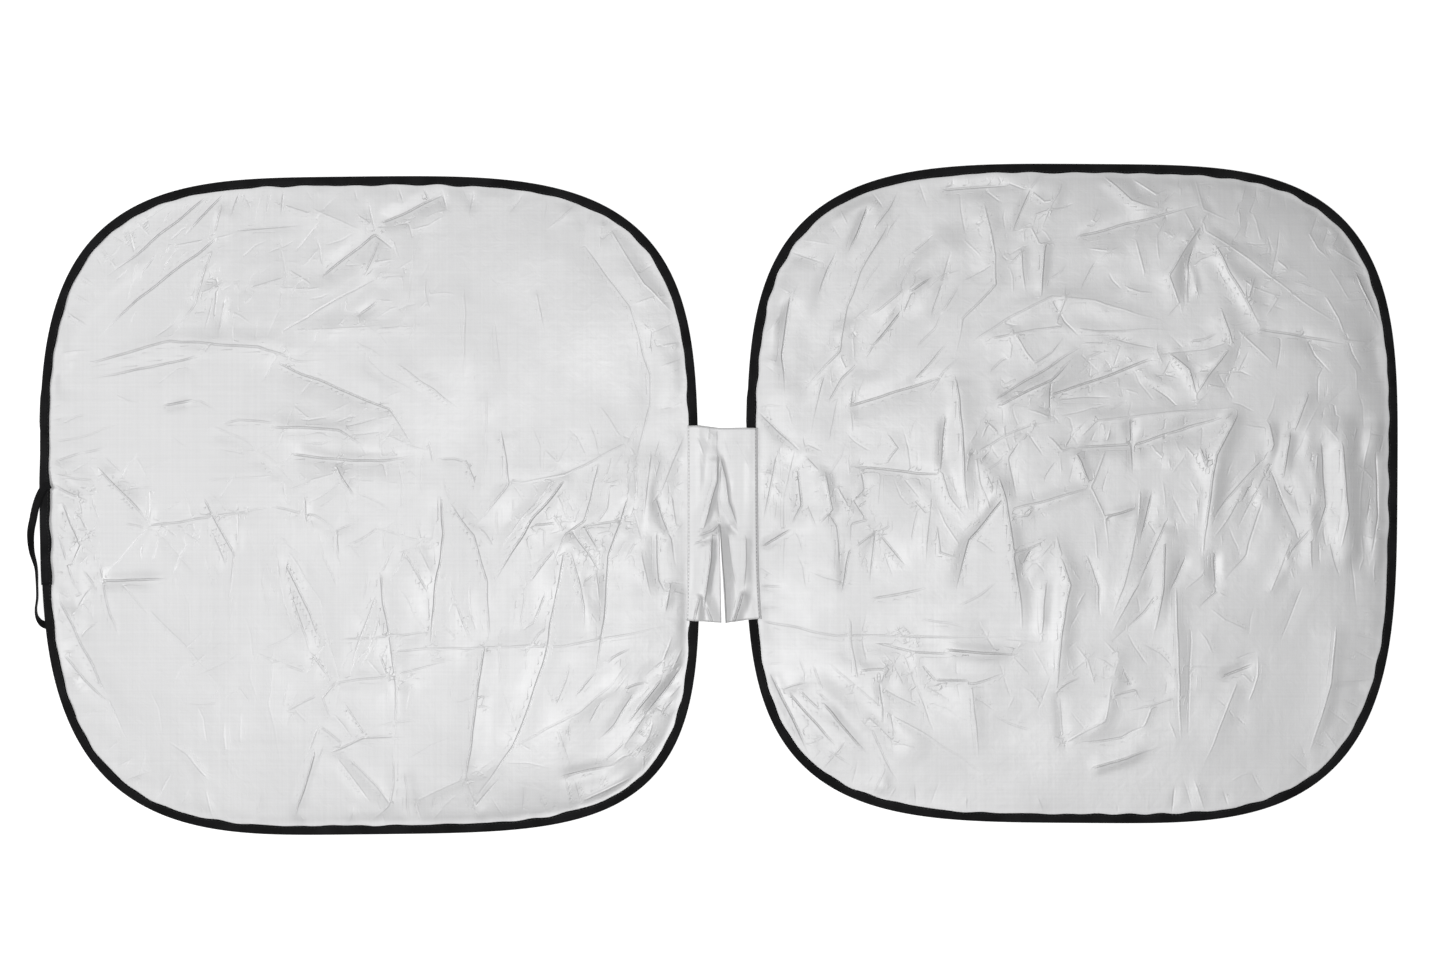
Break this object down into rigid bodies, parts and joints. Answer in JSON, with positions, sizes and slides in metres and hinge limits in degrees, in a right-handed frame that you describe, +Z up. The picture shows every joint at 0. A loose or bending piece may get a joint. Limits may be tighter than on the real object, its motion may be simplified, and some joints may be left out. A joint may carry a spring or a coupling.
{
  "type": "car sunshade",
  "caption": "Folding windscreen shade: two rounded cloth panels on sprung wire hoops, joined by a slit cloth bridge, with an elastic closing loop.",
  "frame": {"origin": "middle of the shade's footprint, on the surface that it lies on", "axes": "+Z up out of the silver front, +Y towards the top edge, +X towards the right panel as the front is seen"},
  "size_m": [1.4646, 0.7174, 0.0106],
  "materials": {
    "silver_cloth": "thin woven polyester with a satin silver coating",
    "spring_steel": "drawn spring wire",
    "crimp_steel": "plated tube, crimped",
    "black_tape": "matt woven binding tape",
    "black_elastic": "matt braided elastic"
  },
  "bodies": {
    "root": {"left_panel_cloth": "silver_cloth", "left_hoop_wire": "spring_steel", "left_hoop_sleeve": "crimp_steel", "left_binding": "black_tape", "right_panel_cloth": "silver_cloth", "right_hoop_wire": "spring_steel", "right_hoop_sleeve": "crimp_steel", "right_binding": "black_tape", "bridge_cloth": "silver_cloth", "closing_strap": "black_elastic"}
  },
  "joints": []
}
